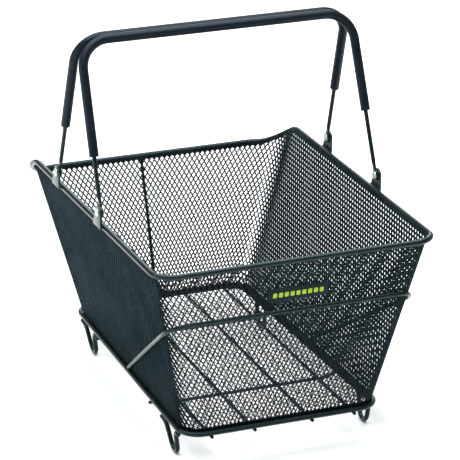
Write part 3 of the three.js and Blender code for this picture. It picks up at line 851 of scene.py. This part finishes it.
def hem():
    """The mesh's solid top edge: a band from a little above the rim's centreline down to
    HEM_DEPTH + HEM_SCALLOP * |cos(pi * openings counted)| below it."""
    lower = HEM_DEPTH + HEM_SCALLOP * np.abs(np.cos(np.pi * band_positions))
    return band(below_rim(band_positions, lower, SHEET_INSET),
                below_rim(band_positions, -HEM_RISE, SHEET_INSET), HEM_THICKNESS)


def seam():
    """The lap of the sheet's two edges down the far wall: a flat bar on the mesh whose half width
    is SEAM_HALF + SEAM_SCALLOP * |cos(pi * height / (2 * HALF_ROW))|, one opening further round at
    the rim than at the floor."""
    start = sum(COLUMNS[:FAR_STRETCH]) + COLUMNS[FAR_STRETCH] / 2 + SEAM_SHIFT
    top = RIM_HEIGHT - RIM_DROP
    height = np.arange(0, top, 0.8)
    line = on_wall(start + height / top, height, SEAM_INSET)
    half = SEAM_HALF + SEAM_SCALLOP * np.abs(np.cos(np.pi * height / (2 * HALF_ROW)))
    along_y = np.array([0, 1.0, 0])
    return capped(rings_round(line, tangents(line), along_y, half, SEAM_HALF_THICK, sides=8))


def pan_lip():
    """The floor sheet's turned-up edge: a band on the walls' inside between two heights."""
    lower, upper = (on_wall(band_positions, height, LIP_INSET) for height in LIP_HEIGHTS)
    return band(lower, upper, LIP_THICKNESS)


frame_piece("top_hem", hem(), mesh_coat, ["wall_mesh"], sharp=50)
frame_piece("wall_seam", seam(), mesh_coat, ["wall_mesh"])
frame_piece("floor_mesh_sheet", floor_strands(), mesh_coat, ["floor_mesh"])
frame_piece("floor_mesh_lip", pan_lip(), mesh_coat, ["floor_mesh"], sharp=50)

# ---- Guard, floor wires, cross wires and feet ----

frame_piece("guard", wire(guard_line(), GUARD_WIRE, UP), frame_coat, ["guard_wire"])
rod_y = (BASE_NEAR - FLOOR_WIRE_END, BASE_NEAR + BASE_LENGTH + FLOOR_WIRE_END)
for k, x in enumerate(FLOOR_WIRE_X, 1):
    straight = np.array([(x, y, FLOOR_WIRE_Z) for y in (rod_y[0], sum(rod_y) / 2, rod_y[1])])
    frame_piece(f"floor_rod_{k}", wire(straight, FLOOR_WIRE, UP, chamfer=CUT_CHAMFER), frame_coat,
                [f"floor_wire_{k}"])
for end in ENDS:
    cross = wire(cross_line(CROSS_WIRE_Y[end]), FLOOR_WIRE, AHEAD, chamfer=CUT_CHAMFER)
    frame_piece(f"cross_rod_{end}", cross, frame_coat, [f"cross_wire_{end}"])
    for side_name, side in SIDES:
        foot = wire(foot_line(FOOT_Y[end], side), FOOT_WIRE, ACROSS, chamfer=CUT_CHAMFER)
        frame_piece(f"hook_foot_{end}_{side_name}", foot, frame_coat, [f"foot_{end}_{side_name}"])


# ---- Brackets and rivets ----

def bracket(end, side):
    """The tab stood up outside the rim, thickness along x, with a weld bead along its foot."""
    rings, faces = plate(tab_outline(), TAB_THICKNESS, 0.5)
    inner = tab_inside(end) if side > 0 else -tab_inside(end) - TAB_THICKNESS
    tab = np.stack([inner + rings[..., 2], PIVOT_Y[end] + rings[..., 0],
                    PIVOT_Z + rings[..., 1]], axis=-1)
    y = PIVOT_Y[end] + np.linspace(1 - TAB_RADIUS, TAB_TOE - 1, 12)
    x = side * (side_rim_x(y) + WELD_OUT)
    joint = np.stack([x, y, np.full_like(y, RIM_HEIGHT + WELD_UP)], axis=-1)
    return join([(tab, faces), bead(joint, WELD_WIDTH)])


for end in ENDS:
    for side_name, side in SIDES:
        frame_piece(f"tab_{end}_{side_name}", bracket(end, side), bracket_coat,
                    [f"bracket_{end}_{side_name}"], sharp=40)
        pin, faces = rivet()
        inner_head = (side * (eyelet_middle(end) - EYELET_GAP), PIVOT_Y[end], PIVOT_Z)
        pin = pin * np.array([side, 1, side]) + np.array(inner_head)
        frame_piece(f"pin_{end}_{side_name}", (pin, faces), plated_steel,
                    [f"rivet_{end}_{side_name}"], sharp=40)

# ---- Handles ----

for end in ENDS:
    frame_piece(f"handle_{end}_bow", handle_wire(end), frame_coat, [f"handle_wire_{end}"],
                body=f"handle_{end}", sharp=60)
    frame_piece(f"handle_{end}_tube", grip(end), rubber, [f"grip_{end}"],
                body=f"handle_{end}", sharp=50)

# ---- Badge ----

tilt = math.atan2(BASE_NEAR, RIM_HEIGHT)
badge_middle = np.array([BADGE_X, BADGE_BELOW_RIM * math.sin(tilt),
                         RIM_HEIGHT - BADGE_BELOW_RIM * math.cos(tilt)])
badge_axes = np.array([(1, 0, 0), (0, -math.sin(tilt), math.cos(tilt)),
                       (0, -math.cos(tilt), -math.sin(tilt))])
mesh_face = -SHEET_INSET * math.cos(tilt)


def on_badge(shape, x, y, lift):
    """A plate laid on the near wall: middle + x and y along the wall + lift straight out of it."""
    rings, faces = shape
    return badge_middle + (rings + np.array([x, y, lift])) @ badge_axes, faces


body_plate = plate(rounded_outline(*BADGE_SIZE, 3), BADGE_THICKNESS, 0.5)
frame_piece("badge_body", on_badge(body_plate, 0, 0, mesh_face + BADGE_LIFT), badge_plastic,
            ["badge_plate"], sharp=50)
mark = plate(rounded_outline(*MARK_SIZE, 1.1, 4), 0.6, 0.2)
marks = [on_badge(mark, x, 0, mesh_face + BADGE_LIFT + BADGE_THICKNESS)
         for x in np.linspace(-MARKS_REACH, MARKS_REACH, MARKS)]
frame_piece("badge_print", join(marks), lime, ["badge_mark"], sharp=50)
back_plate = plate(rounded_outline(*BACKING_SIZE, 3), 1.2, 0.3)
frame_piece("badge_back", on_badge(back_plate, 0, 0, mesh_face - BACKING_DROP), badge_plastic,
            ["badge_backing"], sharp=50)

# ---- Floor, light and camera ----

scene = bpy.context.scene


def stage_floor():
    """A wide level square under the feet."""
    mesh = bpy.data.meshes.new("studio_floor")
    half = 14.0
    z = cad_box[0][2] - 0.0005
    corners = [(-half, -half, z), (half, -half, z), (half, half, z), (-half, half, z)]
    mesh.from_pydata(corners, [], [(0, 1, 2, 3)])
    floor = bpy.data.objects.new("studio_floor", mesh)
    scene.collection.objects.link(floor)

    def pale(nodes, links, shader, place):
        """Matt white with very slow, faint changes of tone."""
        tones = [(0.2, (0.86, 0.86, 0.86)), (0.8, (0.88, 0.88, 0.88))]
        links.new(ramp(nodes, links, noise(nodes, links, place, 3, 2), tones),
                  shader.inputs["Base Color"])

    mesh.materials.append(node_material("studio_floor_paint", pale, Roughness=0.9))


def soft_light(name, place, aim, size, power, tint):
    """A square soft box that faces its aim: its -Z along aim - place."""
    light = bpy.data.lights.new(name, "AREA")
    light.shape = "SQUARE"
    light.size = size
    light.energy = power
    light.color = tint
    lamp = bpy.data.objects.new(name, light)
    lamp.location = place
    direction = np.array(aim, float) - np.array(place, float)
    lamp.rotation_euler = Vector(direction.tolist()).to_track_quat("-Z", "Y").to_euler()
    scene.collection.objects.link(lamp)


stage_floor()
soft_light("light_top", (-0.3, 0.1, 3.4), (0, 0, 0.1), 4.2, 360, (0.97, 1, 0.99))
soft_light("light_back", (1.05, 2.75, 1.15), (0, 0, 0.1), 1.6, 18, (0.95, 1, 0.98))
soft_light("light_left", (-3.4, 0.1, 0.9), (0, 0, 0.2), 0.8, 28, (0.93, 1, 0.98))
scene.view_settings.view_transform = "Standard"
world = bpy.data.worlds.new("studio_air")
world.use_nodes = True
world.node_tree.nodes["Background"].inputs["Color"].default_value = (0.93, 0.985, 1, 1)
world.node_tree.nodes["Background"].inputs["Strength"].default_value = 0.42
scene.world = world

camera_data = bpy.data.cameras.new("camera")
camera_data.lens = 211.86  # a long lens, three metres off the near left corner
camera_data.sensor_width = 36
camera_data.clip_end = 60
camera = bpy.data.objects.new("camera", camera_data)
azimuth, elevation, distance = math.radians(-21.494), math.radians(20.757), 3.0
aim = LAYOUT_ORIGIN + np.array([-0.04793, 0.08783, 0.22154])
camera.location = aim + distance * np.array([
    math.sin(azimuth) * math.cos(elevation), -math.cos(azimuth) * math.cos(elevation),
    math.sin(elevation)])
camera.rotation_euler = (math.pi / 2 - elevation, 0, azimuth)
scene.collection.objects.link(camera)
scene.camera = camera
